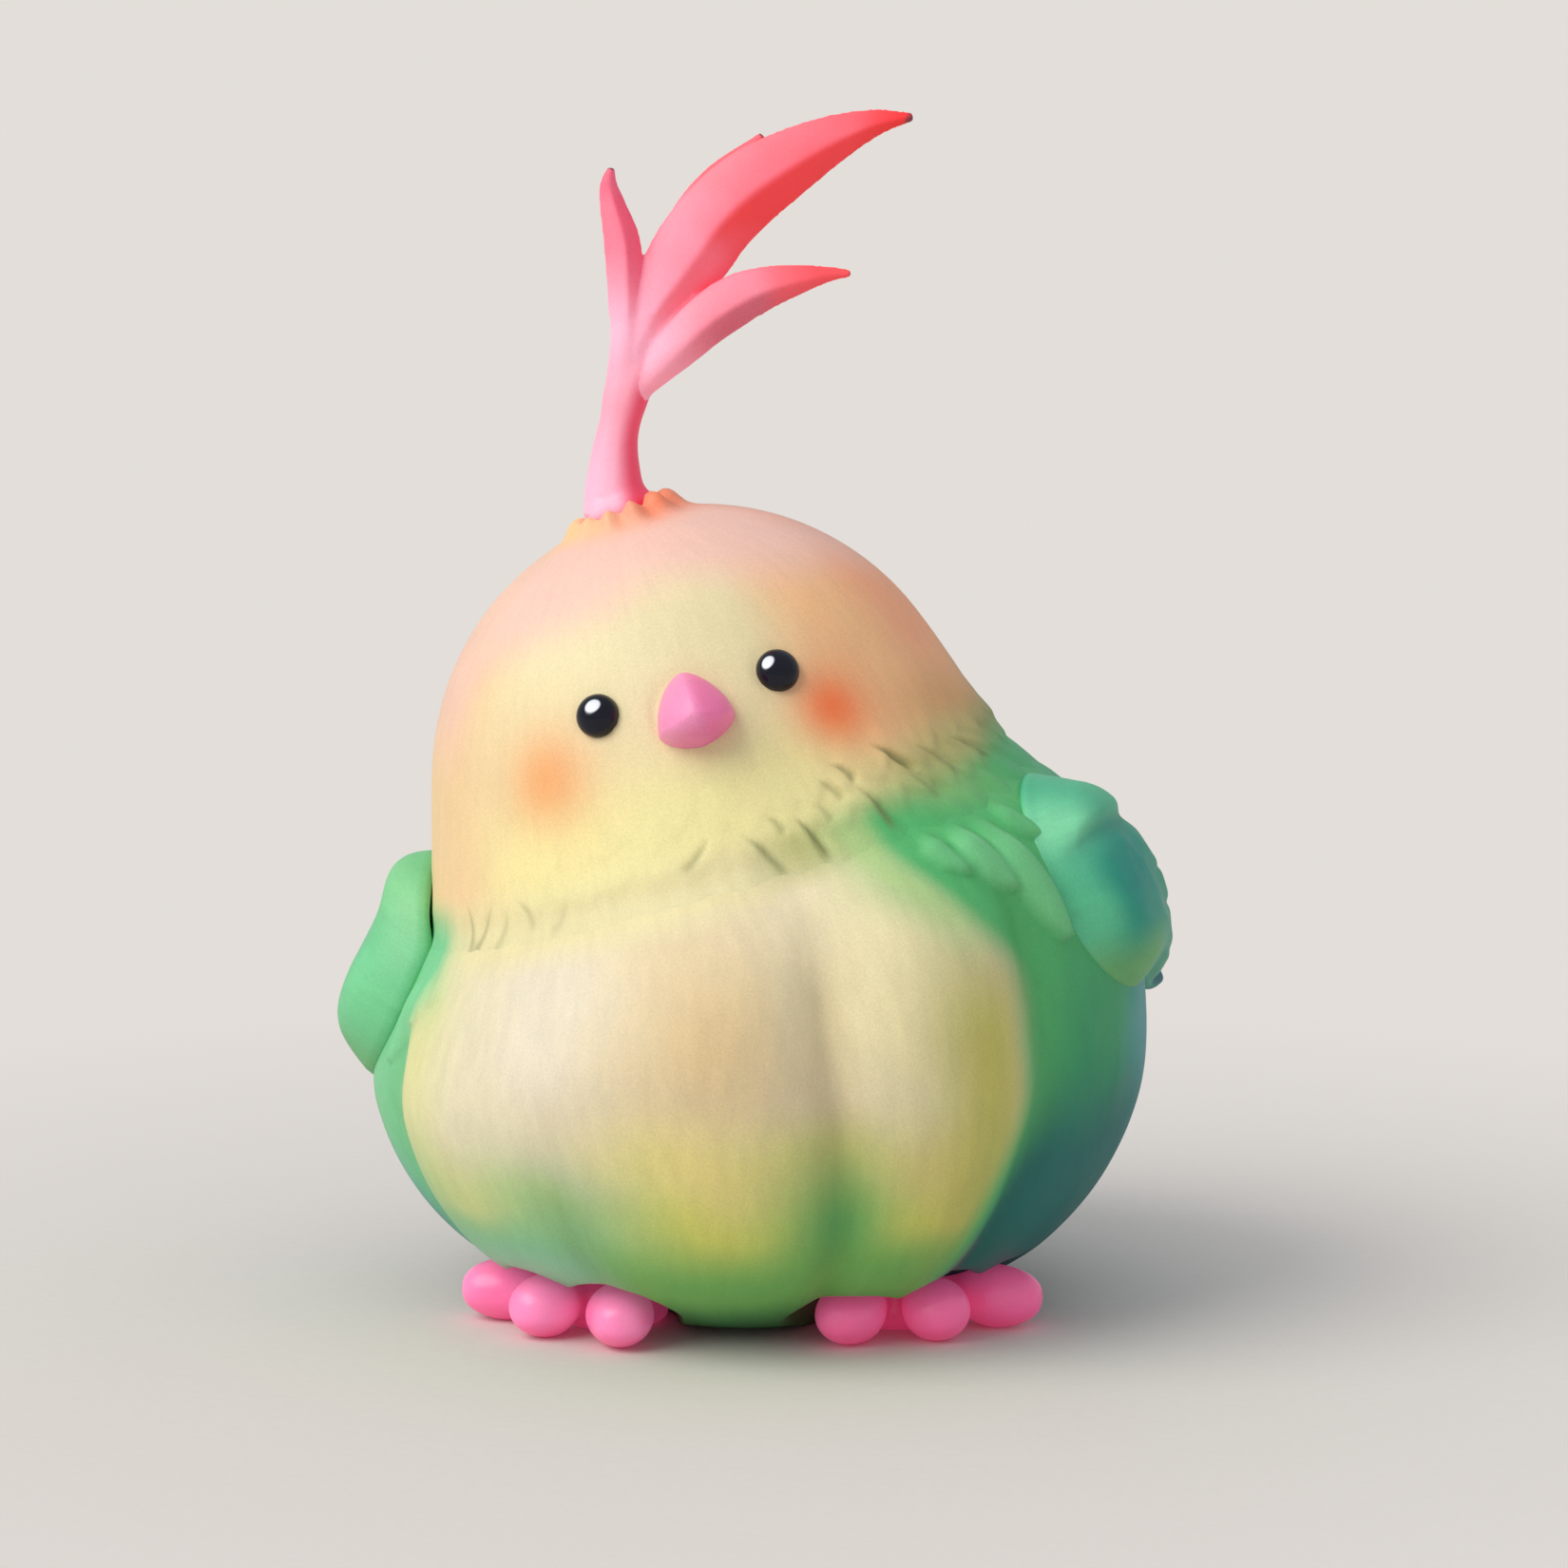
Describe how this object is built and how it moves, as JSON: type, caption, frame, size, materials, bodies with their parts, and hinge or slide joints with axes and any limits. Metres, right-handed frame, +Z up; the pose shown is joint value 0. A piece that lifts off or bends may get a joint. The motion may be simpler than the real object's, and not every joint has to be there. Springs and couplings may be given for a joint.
{
  "type": "vinyl art toy",
  "caption": "Round standing bird with a lobed body, a domed head tilted to its right that swivels, a tall feathered crest, two wings that swing and two feet that turn.",
  "frame": {"origin": "on the floor, under the middle of the body", "axes": "+Z up; the body's breast faces -Y; the bird's left is +X"},
  "size_m": [0.0806, 0.0846, 0.1131],
  "materials": {
    "body_vinyl": "satin vinyl, airbrushed from cream on the breast to green and blue at the sides",
    "head_vinyl": "satin vinyl, airbrushed from pink at the crown to yellow on the face",
    "beak_vinyl": "satin pink vinyl",
    "eye_gloss": "polished near-black",
    "crest_vinyl": "satin vinyl, pale pink at the root and coral red at the tips",
    "wing_vinyl": "satin vinyl, green to teal",
    "foot_vinyl": "satin hot pink vinyl",
    "tail_vinyl": "satin teal vinyl",
    "pin_plastic": "moulded natural white"
  },
  "bodies": {
    "body": {"body_shell": "body_vinyl", "tail": "tail_vinyl"},
    "head": {"head_shell": "head_vinyl", "beak": "beak_vinyl", "eye_left": "eye_gloss", "eye_right": "eye_gloss"},
    "crest": {"crest": "crest_vinyl", "crest_pin": "pin_plastic"},
    "wing_left": {"wing_left": "wing_vinyl", "wing_pin_left": "pin_plastic"},
    "wing_right": {"wing_right": "wing_vinyl", "wing_pin_right": "pin_plastic"},
    "foot_left": {"foot_left": "foot_vinyl", "foot_pin_left": "pin_plastic"},
    "foot_right": {"foot_right": "foot_vinyl", "foot_pin_right": "pin_plastic"}
  },
  "joints": [
    {"name": "head_swivel", "type": "hinge", "parent": "body", "child": "head", "pos_m": [0.00244, 0.00054, 0.0272], "axis": [-0.2887, -0.064, 0.9553], "continuous": true},
    {"name": "crest_swivel", "type": "hinge", "parent": "head", "child": "crest", "pos_m": [-0.01199, -0.00266, 0.07496], "axis": [-0.2887, -0.064, 0.9553], "continuous": true},
    {"name": "wing_left_swing", "type": "hinge", "parent": "body", "child": "wing_left", "pos_m": [0.036, -0.00398, 0.04009], "axis": [0.937, -0.1047, 0.3331], "range_deg": [-10, 40]},
    {"name": "wing_right_swing", "type": "hinge", "parent": "body", "child": "wing_right", "pos_m": [-0.03378, -0.00349, 0.02876], "axis": [0.8941, 0.1088, -0.4344], "range_deg": [-10, 40]},
    {"name": "foot_left_turn", "type": "hinge", "parent": "body", "child": "foot_left", "pos_m": [0.01506, -0.00674, 0], "axis": [0, 0, 1], "range_deg": [-10, 10]},
    {"name": "foot_right_turn", "type": "hinge", "parent": "body", "child": "foot_right", "pos_m": [-0.0108, -0.01247, 0], "axis": [0, 0, -1], "range_deg": [-10, 10]}
  ]
}
